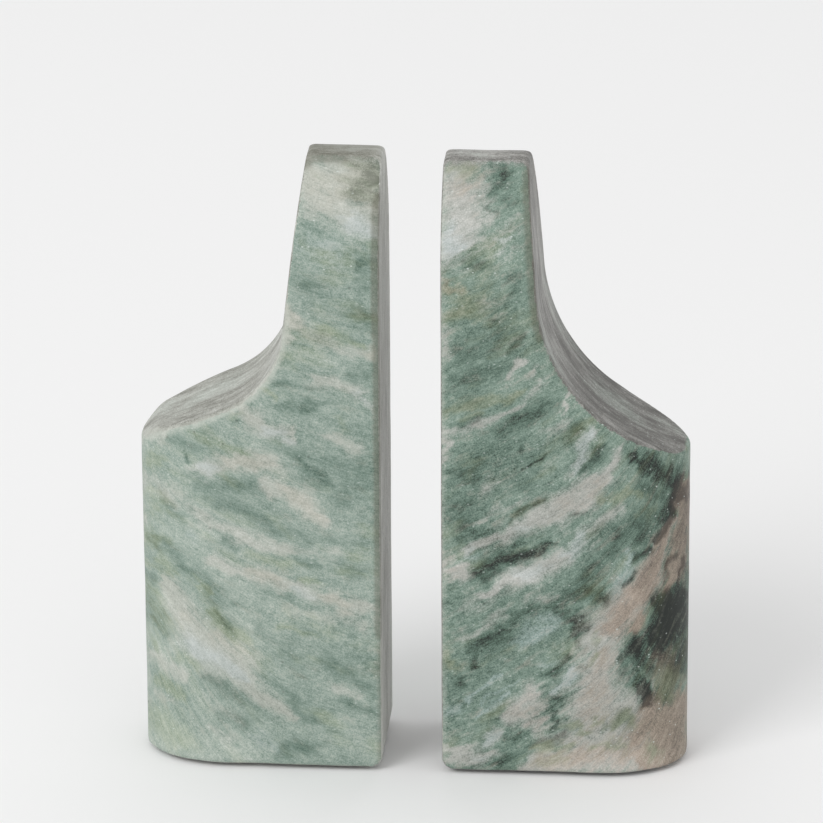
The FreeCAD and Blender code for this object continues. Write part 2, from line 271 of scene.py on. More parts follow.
# Where the marble's veins and patches lie on the front face. Each stroke is its strength and the
# points (u, z, half-width) that it runs through, in millimetres. Pale, cool, olive and warm strokes
# tint the stone. Dark strokes are ragged veins, and light and dim strokes are broad and soft. A few
# strokes are painted light, painted shade and a painted reflection; each is marked where it stands.
LEFT_VEINS = {
    "pale": [
        (1, (20, 146, 4), (12, 145, 5), (3, 145, 4)),
        (1, (18, 143, 3.5), (10, 140, 4.5), (3, 137, 4)),
        (0.7, (22, 115, 1.8), (20, 112, 2), (22, 108, 1.5)),
        (0.6, (10, 106, 1.2), (2, 104.5, 1.8)),
        (0.75, (15, 98, 1.4), (10, 97, 1.6), (5, 95, 1.6), (3, 92, 1.2)),
        (0.85, (33, 90, 1.6), (28, 87, 1.9), (24, 85, 1.8), (20, 85, 1)),
        (0.6, (11, 84, 1.6), (6, 81, 1.8)),
        (0.7, (55, 84, 2), (50, 84, 1.2)),
        (0.95, (43, 75.5, 1.5), (38, 76.3, 2), (33, 77, 2.4), (26, 77.5, 1.9)),
        (0.9, (27, 71.5, 1.6), (22, 70, 2.2), (17, 66.5, 2.6), (13, 63.5, 1.5)),
        (0.45, (26, 78, 1.6), (23, 74, 2.2), (22, 70, 2)),
        (0.6, (56, 72, 2.5), (50, 69, 1.8), (44, 64.5, 1.5), (38, 61, 1.5)),
        (0.8, (37, 60, 1.2), (33, 58, 2), (27, 57, 1.8), (22, 55.5, 1.4)),
        (0.4, (20, 56, 1.2), (10, 56.5, 1.6)),
        (0.85, (40, 52, 1.2), (35, 50.5, 1.8), (29, 49, 2.4), (24, 47, 2)),
        (0.85, (24, 47, 1.6), (18, 45.5, 1.5), (12, 43.5, 2.2), (9, 42, 1.8), (3, 41, 1.2)),
        (0.5, (22, 40, 1.5), (10, 38, 1.8), (3, 37, 1.4)),
        (1, (51, 46, 1.5), (48, 40, 3), (45, 34, 4.2), (40, 29, 4.6), (35, 25, 3.8)),
        (0.9, (35, 25, 3.4), (32, 20, 2.6), (28, 17, 2.2), (24, 14.5, 1.4), (19, 12, 0.8)),
        (0.7, (54, 28, 1.5), (51, 25, 1.7), (47, 22, 1.6)),
        (0.5, (54, 17, 1.4), (51, 16, 1.2)),
        (0.65, (12.5, 22.5, 0.9), (9, 20.5, 1.5), (6, 19, 0.9)),
        (0.45, (41, 10, 1.2), (36, 6.5, 1.2)),
        (0.35, (42, 17, 1.2), (34, 12, 1.3)),
        (0.8, (2.2, 36.2, 0.8)),
        # Painted light: a pale line down the outer end's rim, which faces the lamp.
        (0.8, (58, 76, 1.2), (58, 8, 1.2)),
    ],
    "cool": [
        (0.9, (7, 136.5, 2.2), (3, 134.5, 1.8)),
        (0.7, (27, 86, 1.2), (23, 84.5, 1.3)),
        (0.6, (6, 95.5, 1.2), (3.5, 93, 1.5)),
        (0.7, (42, 75.5, 1.8), (39, 76, 1.4)),
        (0.6, (44.5, 58, 1.6)),
        (0.95, (46, 32, 1.8), (42, 28.5, 2), (37, 25, 1.6), (33, 22, 1)),
        (0.5, (20, 45, 1.4), (16, 44.5, 1.2)),
        (0.5, (12, 130, 3), (16, 131, 2.5)),
        (0.4, (30, 6.5, 1.4), (25, 5.5, 1.2)),
    ],
    "dark": [
        (0.7, (6, 128, 1.5), (4, 126, 2)),
        (0.5, (5, 121, 2.2)),
        (0.5, (18, 122, 2.2), (15, 121, 1.8)),
        (0.45, (6, 114, 3), (2, 113, 2.5)),
        (0.5, (5, 100, 1.8), (2, 99, 1.5)),
        (0.55, (25, 98, 0.9), (20, 96.5, 1.2), (14, 96, 0.9)),
        (0.6, (23, 91, 1.3), (18, 91.5, 1.5), (13, 92.5, 1.8)),
        (0.4, (24, 82, 1.5), (20, 80, 1.5)),
        (0.55, (48, 82, 1.6), (43, 81.5, 1.5)),
        (0.8, (47.2, 80, 0.5), (45.6, 77.8, 0.5)),
        (0.65, (43, 73, 1.8), (36, 70, 3.2), (30, 71.5, 2.6)),
        (0.6, (42, 70, 1.4)),
        (0.55, (38, 68.5, 2.2), (31, 64.5, 2.4), (26, 62, 2)),
        (0.45, (24, 60.5, 1.4), (17, 59.5, 1.6), (10, 59, 1), (3, 57.5, 1.2)),
        (0.8, (18.3, 77.5, 0.9), (16.4, 74.6, 1.5)),
        (0.6, (20.5, 80, 1.8), (18, 76, 3), (14, 73, 2.4)),
        (0.4, (12, 78, 3), (4, 76, 3.5), (8, 69, 3)),
        (0.6, (38, 57, 1.3), (33, 54.5, 1.2)),
        (0.5, (51, 68, 1.2), (49, 64, 1.6), (46, 62, 1.2)),
        (0.6, (19.5, 53, 1.2), (15, 51.5, 1.2)),
        (0.45, (9, 52, 2.2), (3, 50, 2.6)),
        (0.55, (28, 44.5, 1.2), (22, 43, 1.4)),
        (0.6, (53, 58, 2), (50, 55, 2), (47, 52.5, 2)),
        (0.65, (47, 51, 1.6), (43, 47, 2.4), (38, 43, 2.6), (33, 41, 1.4)),
        (0.5, (55, 48, 1.5), (54, 40, 2.2), (52, 33, 2.4)),
        (0.6, (40, 39, 1.6), (36, 35, 1.4)),
        (0.45, (30, 36, 1.4), (22, 29, 2.6), (18, 24, 2.4)),
        (0.55, (43, 23, 1.6), (37, 19, 1.8), (30, 15, 1.3)),
        (0.45, (38, 13, 2.2), (31, 11, 2)),
        (0.5, (23, 19, 1.8), (17, 12, 2.2)),
        (0.65, (24, 5, 2.2), (21, 4, 2.8), (16, 5, 1.8)),
        (0.5, (13, 28, 2.2), (9, 25, 2.6), (4, 21, 1.6)),
        (0.5, (8, 17, 1.2), (3, 15, 1.2)),
        (0.5, (13, 9.5, 0.8), (9, 8.5, 0.9)),
        (0.6, (3.8, 145.4, 0.6), (1.8, 144.8, 0.6)),
    ],
    "olive": [
        (0.3, (8, 144, 1.6), (5, 143.5, 2.2), (2, 142.5, 1.8)),
        (0.3, (6, 148, 1.8), (2, 147, 2.6), (1, 143, 1.8)),
        (0.8, (14, 110.5, 1.2), (9, 109, 1.8), (5.5, 107.5, 1.2)),
        (0.7, (23.5, 105, 1.3), (21, 103.5, 1.5)),
        (0.7, (26, 96, 0.9), (25, 94, 0.8)),
        (0.6, (34, 88, 1.4)),
        (0.5, (9, 88, 1.8)),
        (0.8, (54, 78, 1.8), (52, 77, 1.6)),
        (0.6, (54, 69, 1.8), (51, 67, 1.4)),
        (0.8, (55, 58, 2.2), (51, 57, 1.4)),
        (0.8, (50, 49.5, 1.6), (52, 52, 1.8)),
        (0.8, (43, 45, 1), (40.5, 44, 1)),
        (0.6, (30, 54.5, 1.2), (22, 52, 1.4)),
        (0.8, (18, 48, 1), (15, 47.5, 1)),
        (0.9, (40, 39, 1.6), (39, 36, 1.6), (35, 33.5, 1.6), (31.5, 32.5, 1.4)),
        (0.7, (25, 37, 0.6), (20, 35.2, 0.8), (15, 32.8, 0.6)),
        (0.6, (48, 27, 1.4), (45, 26, 1.2)),
        (0.8, (53, 21, 1.5), (48, 18, 1.8)),
        (0.7, (55, 12, 3.5), (50, 8, 3.5), (46, 5, 2.5)),
        (0.5, (52, 36, 3), (54, 44, 2.5)),
        (0.4, (12, 35, 3), (22, 39, 2)),
    ],
    "light": [
        (0.12, (6, 140, 2.5), (9, 141, 2)),
        (0.08, (30, 79, 5), (24, 75, 4)),
        (0.15, (15, 69, 3)),
        (0.13, (34, 62, 4), (27, 57, 4)),
        (0.1, (36, 50, 4), (27, 52, 5), (20, 50, 4)),
        (0.12, (42, 44, 4), (30, 43, 5), (15, 44, 4)),
        (0.12, (28, 37, 5), (16, 39, 4)),
        (0.18, (50, 32, 5)),
        (0.2, (30, 33, 4), (27, 32, 3)),
        (0.1, (50, 27, 4), (40, 27, 4)),
        (0.1, (18, 28, 4)),
        (0.12, (8, 21, 3.5)),
        (0.1, (41, 14, 6)),
        (0.24, (52, 5, 5), (42, 4, 5), (33, 2, 4)),
        (0.1, (52, 40, 3)),
        (0.14, (45, 33, 3)),
        (0.16, (15, 45, 3)),
        (0.1, (27, 51, 3), (27, 33, 3)),
    ],
    "dim": [
        (0.5, (1, 149, 4), (5, 143, 3)),
        (0.12, (11, 136, 3), (7, 135, 2)),
        (0.08, (9, 147, 3)),
        (0.1, (1, 135, 3), (1, 60, 3)),
        (0.12, (3, 99, 3)),
        (0.12, (33, 87, 3), (39, 85, 3)),
        (0.16, (3, 29, 3), (2, 26, 2)),
        (0.08, (3, 9, 3)),
        (0.09, (26, 9, 3), (21, 21, 3)),
        (0.1, (14, 134, 5), (10, 128, 5)),
        (0.12, (3, 128, 4), (3, 118, 4)),
        (0.1, (20, 106, 4), (9, 109, 5)),
        (0.1, (21, 99, 4), (15, 93, 5), (6, 87, 5)),
        (0.1, (27, 69, 3)),
        (0.16, (26, 20, 4), (20, 16, 5)),
        (0.06, (6, 45, 3)),
    ],
    "warm": [
        (0.9, (22, 114, 1.6), (19, 110, 1.8), (12, 108, 1.6)),
        (0.6, (17, 145, 3), (12, 142, 3)),
        (1.4, (8, 144, 2.4), (3, 146, 3.4), (2, 142, 2.6)),
        (0.7, (35, 77, 1.8), (27, 77.3, 1.6)),
        (0.9, (22, 70, 1.8), (17, 66.5, 2.2), (14, 64, 1.4)),
        (0.9, (31, 49.5, 1.6), (26, 48, 1.8)),
        (0.9, (13, 44, 1.8), (9.5, 42.5, 1.5)),
        (0.8, (38, 32.5, 2), (33, 30, 2.4)),
        (0.6, (46, 37, 2)),
        (0.7, (2, 105, 1.4)),
        (0.6, (0.6, 32, 1.2), (0.6, 24, 1.2)),
    ],
}

RIGHT_VEINS = {
    "pale": [
        # A pale vein at the top left, with a painted reflection of a soft sheen over it.
        (1, (4, 147, 4), (4, 141, 5), (3.5, 136, 4.5), (2, 131, 4)),
        (0.6, (9, 145, 2.5), (9, 138, 2.8), (6, 133, 2.5)),
        (0.65, (14, 131, 1.8)),
        (0.4, (16, 136, 1.4), (18, 132, 1.2)),
        (0.45, (9.5, 118, 1.3)),
        (0.5, (0.5, 111, 1.4), (1, 105, 1.4)),
        (0.8, (15, 100, 0.5), (18.5, 103.6, 0.6)),
        (0.45, (21.5, 102, 1.2), (23, 97.5, 1.6), (20, 95, 1)),
        (0.7, (0, 85.8, 0.7), (5, 87, 0.7), (10, 89, 0.9), (15, 91, 0.7), (20, 94, 0.6)),
        (0.8, (0.5, 86, 1.3), (0.7, 80, 1.3), (0.5, 78, 0.8)),
        (0.8, (28.4, 95.5, 0.5), (29.3, 92, 0.7)),
        (0.4, (24, 86, 1.2), (29, 89, 1.3)),
        (0.8, (30.5, 76, 1), (32, 80, 1.3), (34, 84, 1.4), (36, 87.5, 1)),
        (0.8, (37.5, 76, 1.2), (39.5, 79, 1.2), (41.5, 83, 1.2)),
        (0.5, (10, 72, 1.6), (13, 74, 1.2)),
        (0.4, (10, 64, 0.8), (15, 66.5, 1), (20, 70, 0.8)),
        (0.9, (8, 56.5, 1), (13, 60.2, 1.3), (17, 62, 1.8), (22, 64.3, 2.1)),
        (1.1, (22, 64.3, 2.2), (27, 67, 3), (32, 70, 3), (36, 73.5, 3), (39, 76, 1.6)),
        (0.9, (0.5, 52.5, 1.6), (4, 51, 2.2)),
        (1, (11, 46, 1.2), (15, 48, 2), (20, 50.5, 2.3), (25, 53, 2), (29, 55.5, 1.5)),
        (0.6, (29, 55.5, 1.3), (33, 60, 1.8), (37, 64.5, 1.6), (42, 68, 1.6)),
        (0.4, (5, 41, 1.6), (12, 44.5, 1.8)),
        (0.35, (20, 44, 1.6), (25, 45, 1.4)),
        (0.5, (6, 35, 1.2), (10, 37.5, 1.4), (14, 41, 1.2)),
        (1.1, (53.5, 65, 1), (51, 58, 1.8), (49.5, 52, 2.4), (45, 46, 3)),
        (1.1, (45, 46, 3), (41.5, 41.5, 3.6), (38, 37, 3.8), (36.5, 32, 3.4)),
        (1.1, (36.5, 32, 3.4), (36.5, 27, 3.6), (36, 21.5, 5.4), (35.5, 16, 5.6), (34.5, 12.5, 4)),
        (0.9, (38, 16, 4.5), (43, 18, 4), (46, 16, 3)),
        (1, (22, 21, 2), (20, 18, 2.8), (16.5, 14, 2.2)),
        (0.8, (23, 12.5, 2.2), (20, 14, 2.5)),
        (0.8, (13, 9.5, 1.6), (11.5, 8.5, 1.5)),
        (0.9, (10, 4.5, 2), (5.5, 3, 2.2), (2, 5, 1.4)),
        (1.1, (22, 1.5, 2.4), (28, 3.6, 3.4), (35, 5, 4), (43, 5, 5), (50, 5, 4.5)),
        (0.9, (31, 8, 2.4), (38, 9.5, 3.4), (45, 10, 3.6)),
        (0.5, (24, 8, 3), (30, 10, 3)),
        (0.8, (50.7, 24.5, 0.35), (50.2, 16, 0.4)),
        (0.7, (28, 21, 0.7), (29.5, 24, 0.9), (31, 27, 0.7)),
    ],
    "cool": [
        # Painted reflection: the bluish white at the top left stands for a soft sheen on the honed
        # stone.
        (1, (1.5, 133, 2.6), (2.5, 130.5, 2.4)),
        (0.7, (14, 131.5, 1.8)),
        (0.8, (31, 77, 1.2), (33, 82, 1.4), (35.5, 87, 1.2)),
        (0.6, (8, 54.5, 1.3), (9, 57, 1)),
        (0.5, (17, 61.5, 1.2), (20, 62.5, 1.4)),
        (0.7, (29, 55.5, 1.2), (33, 60, 1.6)),
        (0.6, (18, 50, 1.6), (24, 52.5, 1.4)),
        (0.7, (41, 47, 1.1), (43.5, 53, 1.2), (45, 57, 0.9)),
        (0.7, (17.5, 33, 1.6), (21, 35.5, 2.2), (26, 37, 1.8)),
        (0.6, (23, 39.5, 1.2), (27, 40, 1.3)),
        (0.5, (25.5, 28.5, 1.3)),
        (0.8, (5.5, 18, 0.45), (10, 22, 0.5), (15, 25.3, 0.45)),
        (0.8, (8, 14.3, 0.8), (12, 17.3, 1), (16, 20.5, 0.7)),
        (0.6, (8, 17, 0.4), (13, 21, 0.5), (18, 24, 0.4)),
        (1, (28, 21, 0.7), (29.5, 24, 0.9), (31, 27, 0.7)),
        (0.8, (13, 9.5, 1.2), (11, 8.3, 1.2)),
        (0.6, (8.5, 3.6, 1.3)),
        (0.6, (1, 15, 1.4), (3, 16, 1)),
    ],
    "dark": [
        (0.6, (15, 147, 1.6), (12, 143.5, 1.8)),
        (0.7, (12, 139.5, 0.9), (11, 140.5, 0.8)),
        (0.4, (18, 141, 1.4), (15, 143, 2.5)),
        (0.6, (9, 127, 1.6), (6, 128, 1.8)),
        (0.5, (16, 124, 1.8), (19, 121, 1.4)),
        (0.6, (12, 113, 1.4)),
        (0.55, (17, 112, 2.2), (12, 107, 3.5), (6, 105, 3.5)),
        (0.6, (16, 105, 1.2), (19, 111.5, 0.7)),
        (0.55, (8, 99, 3), (3, 99, 2.5), (13, 102, 2.4)),
        (0.6, (13, 86, 2), (19, 89.5, 2.6), (25, 93.5, 2)),
        (0.6, (3, 87.5, 0.8), (8, 89, 0.9)),
        (0.6, (31, 87, 1.5), (32, 89, 1.2)),
        (0.8, (20, 78, 0.5), (23.5, 80.3, 0.6)),
        (0.6, (18.5, 81.5, 0.8)),
        (0.7, (33, 77.3, 0.9), (36, 80.5, 1.6), (38.5, 84, 1.3)),
        (0.5, (3, 75, 2), (9, 77, 2.4)),
        (0.4, (5, 66, 3.2), (5, 60, 2.8)),
        (0.4, (20, 73, 2.2), (24, 74, 1.8)),
        (0.7, (15.5, 63.7, 0.7), (19, 66.3, 0.8), (23, 69, 0.7)),
        (0.8, (18, 54.3, 0.8), (22, 56.5, 1.2), (25.5, 58.4, 1)),
        (0.75, (8, 51, 1.8), (12, 52.5, 2.3), (17, 54.5, 1.8), (24, 58, 1)),
        (0.7, (9.5, 49.8, 1.2), (14, 51, 1.2)),
        (0.55, (30.5, 65.2, 0.7), (34, 67.5, 0.7)),
        (0.5, (42, 60, 2.4), (38, 56, 2.4)),
        (0.6, (36, 53, 2.5), (33, 47, 3.2), (38, 46, 2.4)),
        (0.85, (43, 49, 0.7), (44.6, 51.4, 0.8)),
        (0.85, (45.8, 55.8, 0.8), (47.6, 57, 0.9)),
        (1, (49.8, 59.4, 0.6), (51.6, 62.4, 0.9), (53.4, 66, 0.8), (54.8, 71, 0.9), (55.4, 75, 1)),
        (0.95, (45, 80.5, 1.4), (50, 78, 2.6), (54, 75, 2.2)),
        (0.7, (48, 75, 2.6), (53, 70, 2.4), (52, 65, 2.2)),
        (0.5, (48, 68, 3), (46, 61, 3)),
        (0.7, (50.5, 47, 0.5), (53, 52, 0.6), (54.6, 57.5, 0.5)),
        (0.8, (56, 49, 0.5), (56.5, 56, 0.5)),
        (1, (52, 45.5, 2.6), (54, 42, 4.2), (55, 35, 4.6), (51.5, 37, 3.8)),
        (0.9, (53, 32, 4.6), (56, 28, 3.5)),
        (0.9, (57, 46, 3), (57, 30, 4)),
        (0.8, (56, 77, 2), (57, 72, 1.6)),
        (0.9, (46, 34, 2.8), (47, 30, 3.4), (49, 28, 2.6)),
        (0.6, (42, 31, 1.4), (43, 27, 2), (45, 24, 1.8)),
        (1.2, (46, 27, 1.6), (47.2, 23.5, 2), (48.8, 19.6, 1.3), (49.4, 18, 0.7)),
        (0.6, (43, 33.2, 1.1)),
        (0.6, (20, 6, 0.8), (24, 7.8, 1.2), (28, 9.5, 1.4)),
        (0.8, (26.2, 15, 1), (26.8, 12.8, 0.9)),
        (0.55, (27.5, 18.5, 1.5), (25.5, 17, 1.2)),
        (0.6, (14, 1.6, 1.4), (16, 4, 1.8), (18, 4.5, 1.2)),
        (0.55, (17, 8.5, 1.4)),
        (0.55, (6.3, 27.5, 1.2), (7.5, 31, 1.4)),
        (0.65, (10.5, 33.5, 2.2), (14, 34, 2.2), (15, 36, 1.6)),
        (0.5, (18, 40, 1.6), (22, 42, 2)),
        (0.55, (26, 42.5, 1.6), (30, 41, 1.8)),
        (0.7, (8, 27, 0.8), (7, 26.8, 0.7)),
        (0.6, (3.5, 23, 1.6), (4, 21.5, 1.4)),
        (0.4, (3, 19, 1.2), (5, 16.5, 1)),
        (0.6, (29.5, 29.5, 1), (27, 27, 1), (26, 25, 1)),
        (0.6, (34, 38, 1.4), (31, 41, 1.4), (33, 34, 1.4)),
        (0.5, (32.8, 28.5, 0.6), (34, 26, 0.5)),
    ],
    "olive": [
        (0.7, (2, 148, 1.6), (7, 147.5, 1.6)),
        (0.7, (2, 122, 2.6), (5, 120, 2.8), (8, 116, 2.4)),
        (0.5, (3, 115, 2.8), (10, 122, 2.4)),
        (0.8, (0, 91, 1.2), (8, 92.8, 1.2), (15, 94.6, 1), (18, 96.5, 0.8)),
        (0.6, (4, 88.5, 0.8), (8, 90, 0.8)),
        (0.5, (8, 78.5, 2.2)),
        (0.7, (37, 70.5, 1.2), (42, 72, 1.4), (47, 73, 1.2)),
        (0.5, (48, 68, 2.5)),
        (0.6, (35, 47, 3)),
        (1, (41, 13.5, 2), (44, 14.5, 2)),
        (0.8, (50, 6.5, 2)),
        (0.8, (29, 12.4, 1), (33, 10.8, 1.2)),
        (0.9, (22, 5.5, 1.2), (26, 6.8, 1.2), (30, 7, 0.9)),
        (0.7, (37, 7, 1.2), (43, 7.6, 1.2)),
        (0.6, (35.5, 14.5, 0.9), (40, 11.5, 0.9)),
        (0.8, (54, 25, 2.8), (53, 21, 2.2)),
        (0.8, (0.5, 29, 1.8), (2, 27, 1.6)),
        (0.5, (16, 64.2, 0.8), (22, 68.5, 0.8)),
        (0.6, (37, 36.5, 0.8), (36.3, 33, 0.7), (34.3, 28.5, 0.7)),
        (0.5, (28, 4.5, 1.8), (24, 2.5, 1.4)),
    ],
    "light": [
        (0.12, (2, 138, 4), (2, 130, 4)),
        (0.16, (15, 128, 4), (15, 123, 3)),
        (0.14, (27, 93, 3)),
        (0.1, (2, 87, 3), (2, 75, 3)),
        (0.1, (17, 87, 3), (33, 87, 3)),
        (0.1, (27, 81, 3)),
        (0.2, (27, 57.5, 3)),
        (0.28, (21, 50.5, 3), (14, 49, 2)),
        (0.1, (9, 39, 3)),
        (0.25, (26, 1.5, 4), (38, 2, 4.5), (50, 3.5, 4)),
        (0.2, (45, 27, 3)),
        (0.14, (45, 46, 2)),
        (0.1, (1, 147, 2.5)),
        (0.1, (4, 57, 3)),
        (0.12, (14, 35, 3)),
        (0.12, (45, 3, 5)),
    ],
    "dim": [
        (0.1, (13, 147, 4)),
        (0.12, (9, 111, 3.5), (15, 117, 3)),
        (0.1, (14, 93, 3), (7, 93, 3)),
        (0.12, (27, 87, 2.5), (33, 80, 2.5)),
        (0.1, (3, 69, 3), (10, 67, 3)),
        (0.12, (15, 57, 2.5)),
        (0.12, (39, 45, 2)),
        (0.12, (40, 15, 3), (33, 9, 3)),
        (0.1, (2, 13, 3), (3, 8, 3)),
        (0.12, (20, 105, 4)),
        (0.1, (9, 81, 3.5), (21, 81, 3.5)),
        (0.12, (33, 82, 3)),
        (0.3, (15, 57, 3), (9, 61, 3.5)),
        (0.22, (39, 63, 4), (47, 63, 4)),
        (0.12, (33, 57, 4), (44, 58, 2)),
        (0.14, (41, 69, 4), (46, 70, 4)),
        (0.18, (45, 82, 3), (52, 80, 3)),
        (0.14, (38, 46, 3), (27, 45.5, 3)),
        (0.14, (3, 46, 3)),
        (0.15, (9, 33, 3), (15, 38, 3)),
        (0.12, (20, 27, 3), (27, 27, 3)),
        (0.3, (53, 46, 3.2), (53, 39, 4)),
        (0.14, (48, 52, 2), (51, 56, 2)),
        (0.14, (51, 66, 3)),
        (0.25, (52, 21, 4), (46, 21, 2)),
        (0.15, (54, 10, 6)),
        # Painted shade: the outer end is darkened where it curves away from the light.
        (0.26, (58, 72, 3), (57, 50, 3.5)),
        (0.24, (45, 34, 3)),
        (0.12, (33, 39, 3)),
        (0.2, (42, 14.5, 4)),
        (0.16, (27, 18, 4), (21, 12, 3.5), (15, 15, 3.5)),
        (0.12, (9, 10, 4)),
    ],
    "warm": [
        (1, (53.5, 65, 1.2), (51, 58, 1.8), (49.5, 52, 2.6), (45.5, 46, 3)),
        (0.8, (45.5, 46, 3), (42.5, 41.5, 3.4), (39.5, 38, 2.5)),
        (1, (46.5, 41, 1.6), (45, 37.5, 1.4)),
        (0.4, (37, 30, 3), (35, 16, 4)),
        (1.1, (57.5, 75, 1.4), (57, 66, 2.4), (56.4, 60, 2.2), (55, 52, 2.2), (52.5, 48, 1.4)),
        (1.3, (57, 17, 4), (54, 12, 5.5), (55, 6, 4.5), (49, 5, 3.5)),
        (0.9, (51, 20, 2.2), (48, 13, 2.4), (47, 9, 2.6)),
        (0.6, (54, 24, 3.5), (53, 30, 3)),
        (0.3, (30, 68.5, 2.2), (37, 73.5, 2.4)),
        (0.3, (22, 21, 1.6), (18, 16, 2.2), (23, 13, 1.8)),
        (0.3, (4, 143, 3), (8, 146, 2)),
        (0.7, (4.6, 120.8, 1.2), (1.2, 123.2, 1)),
        (0.6, (25, 3, 3), (33, 5, 3.2), (44, 5, 4.5)),
        (0.3, (2, 52, 2)),
    ],
}

VEINS = {"left": LEFT_VEINS, "right": RIGHT_VEINS}

# Where the eased edge in front of the swoop is wide and soft.
SOFT_RIDGES = {
    "left": [(1.0, (22, 112, 3), (25, 102, 3.5), (30, 95, 3.5), (38, 90, 3), (50, 84, 3))],
    "right": [(0.3, (22, 112, 3), (28, 98, 3), (38, 90, 3))],
}
SOFT_RIDGE = 1.3

# Edges darkened partly by handling dirt and partly by painted shade, and pale edges that are partly
# rubbed wear and partly a painted highlight.
DIRT_AND_SHADE_EDGES = {
    "left": [
        (1.8, (0, 140, 2), (0, 110, 2)),
        (1.3, (0, 110, 2), (0, 35, 2)),
        (0.6, (0, 35, 2), (0, 2, 2)),
        (0.7, (0, 150, 2.5), (17, 150, 2)),
        (1.3, (9, 149, 1.5), (18, 148.5, 1.5)),
    ],
    "right": [
        (1.0, (19.5, 146, 2), (20.5, 125, 2), (22, 110, 2)),
        (0.4, (22, 110, 2), (30, 96, 2)),
    ],
}
# The left swoop's ridge and the right block's inner front edge carry a painted highlight; the pale
# nicks along the right ridge are wear.
WEAR_AND_HIGHLIGHT_EDGES = {
    "left": [(1.0, (22, 114, 3), (25, 102, 3.5), (30, 95, 3.5), (38, 90, 3), (57, 82, 3))],
    "right": [(0.25, (30, 95, 2), (56, 79, 2.5)), (0.5, (0, 145, 2), (0, 4, 2))],
}


STROKE_FALL = 0.7           # how fast a stroke fades away from its middle


def fade(values, start, end):
    """Zero up to the start, one past the end, smooth between. It may run downwards."""
    share = np.clip((values - start) / (end - start), 0, 1)
    return share * share * (3 - 2 * share)


def stroke_mask(spots, strokes):
    """How much each spot (u, z) is covered by the strokes, from 0 to their strength."""
    mask = np.zeros(len(spots))
    for strength, *points in strokes:
        points = np.array(points, float)
        if len(points) == 1:
            points = np.vstack([points, points + (0.01, 0, 0)])
        for start, end in zip(points, points[1:]):
            along = end[:2] - start[:2]
            offset = spots - start[:2]
            share = np.clip(offset @ along / (along @ along), 0, 1)
            gap = np.linalg.norm(offset - share[:, None] * along, axis=1)
            width = start[2] + share * (end[2] - start[2])
            mask = np.maximum(mask, strength * np.exp(-STROKE_FALL * (gap / width) ** 2))
    return mask


# How far the pattern moves in u and z for each millimetre into the stone.
LAYER_TILT = {"left": (-0.08, 0.39), "right": (0.08, 0.39)}
WANDER_LENGTH = 15.0        # size of the folds that the pattern makes deeper in the stone
WAVERS = ((1.6, 4.0), (0.8, 1.6))   # how far the veins waver, and over what length
FRAY = 3.2                  # how far the veins' borders fray along the layers
FRAY_LENGTH = 1.5           # thickness of the frayed threads
SLOPE_STEP = 0.1            # distance over which the layers' slope is measured
FACING = (0.9, 0.1)         # how squarely faces look to the front where they turn green to sawn
EDGE_DEPTHS = (0.5, 0.3)    # where the eased edges' tints lie under the outline and the front
EDGE_WIDTHS = (1.8, 1.2)


def pattern_spots(local, side):
    """Where each point looks in the front face's pattern, which leans and wanders with depth."""
    size, _, _ = block_size(side)
    arch = np.clip((local[:, 2] - size.z + ARCH_RISE) / ARCH_RISE, 0, 1)
    depth = local[:, 1] + size.y / 2 * np.sqrt(1 - arch ** 2)
    reach = 0.6 + 0.3 * np.maximum(depth - 6, 0)
    spots = local[:, [0, 2]] + depth[:, None] * np.array(LAYER_TILT[side])
    for axis in (0, 1):
        spots[:, axis] += drift(local, WANDER_LENGTH, SEEDS[side]["pattern"] + axis) * reach
    return spots


def fray(spots, side, local):
    """The spots moved so that the veins' borders waver, and fray along the layers."""
    seed = SEEDS[side]["fray"]
    moved = spots.copy()
    (broad, broad_length), (fine, fine_length) = WAVERS
    tremor = fine * drift(local, fine_length, seed + 2)
    for axis in (0, 1):
        moved[:, axis] += broad * drift(local, broad_length, seed + axis) + tremor
    height = layer_height(side, spots)
    uphill = np.c_[
        layer_height(side, spots + (SLOPE_STEP, 0)) - height,
        layer_height(side, spots + (0, SLOPE_STEP)) - height,
    ] / SLOPE_STEP
    steep = np.linalg.norm(uphill, axis=1)
    along = np.c_[uphill[:, 1], -uphill[:, 0]] / steep[:, None]
    threads = np.c_[0.15 * spots[:, 0], height, 0.3 * local[:, 1]]
    return moved + along * (FRAY * drift(threads, FRAY_LENGTH, seed + 4) / steep)[:, None]


def layer_height(side, spots):
    """A height that is level along the stone's layers, which sweep up towards the outer end."""
    u, z = spots.T
    if side == "left":
        low = fade(z, 62, 32)
        return z - 0.15 * u - 0.005 * u ** 2 - low * 1.5 * u ** 4 / (4 * 48 ** 3)
    return z - 0.45 * u - 0.003 * u ** 2 - 2.2 * u ** 6 / (6 * 57 ** 5)


def sawn_tone(local, side):
    """How light the sawn faces are: lightest on the left book face and round the right neck."""
    u, y, z = local.T
    if side == "left":
        inner = fade(u, 4, 0)
        # Painted light: the left book face is made lighter low down, against the shade that falls
        # between the two blocks near the floor.
        return 0.42 + 0.4 * inner + 0.15 * inner * fade(z, 100, 40)
    crown = fade(z, 147, 150)
    high = fade(z, 92, 122)
    front = fade(y, -8, -13)
    return 0.36 + 0.08 * crown + 0.26 * high + 0.16 * front * (1 - high)


def sawn_share(local, side, way, rim, face):
    """One where the stone is cut across its layers, zero on the front, the back and outer end."""
    size, _, _ = block_size(side)
    wall = NECK_AND_SHOULDER[side][-1]
    end = fade(local[:, 0], size.x - 8, size.x - 6) * fade(local[:, 2], wall + 1, wall)
    return np.where(rim > face, 1.0, fade(np.abs(way[:, 1]), *FACING)) * (1 - end)


def add_vectors(mesh, name, *columns):
    """Stores up to three values per vertex for the material to read."""
    values = np.zeros((len(mesh.vertices), 3))
    for index, column in enumerate(columns):
        values[:, index] = column
    attribute = mesh.attributes.new(name, "FLOAT_VECTOR", "POINT")
    attribute.data.foreach_set("vector", values.ravel())


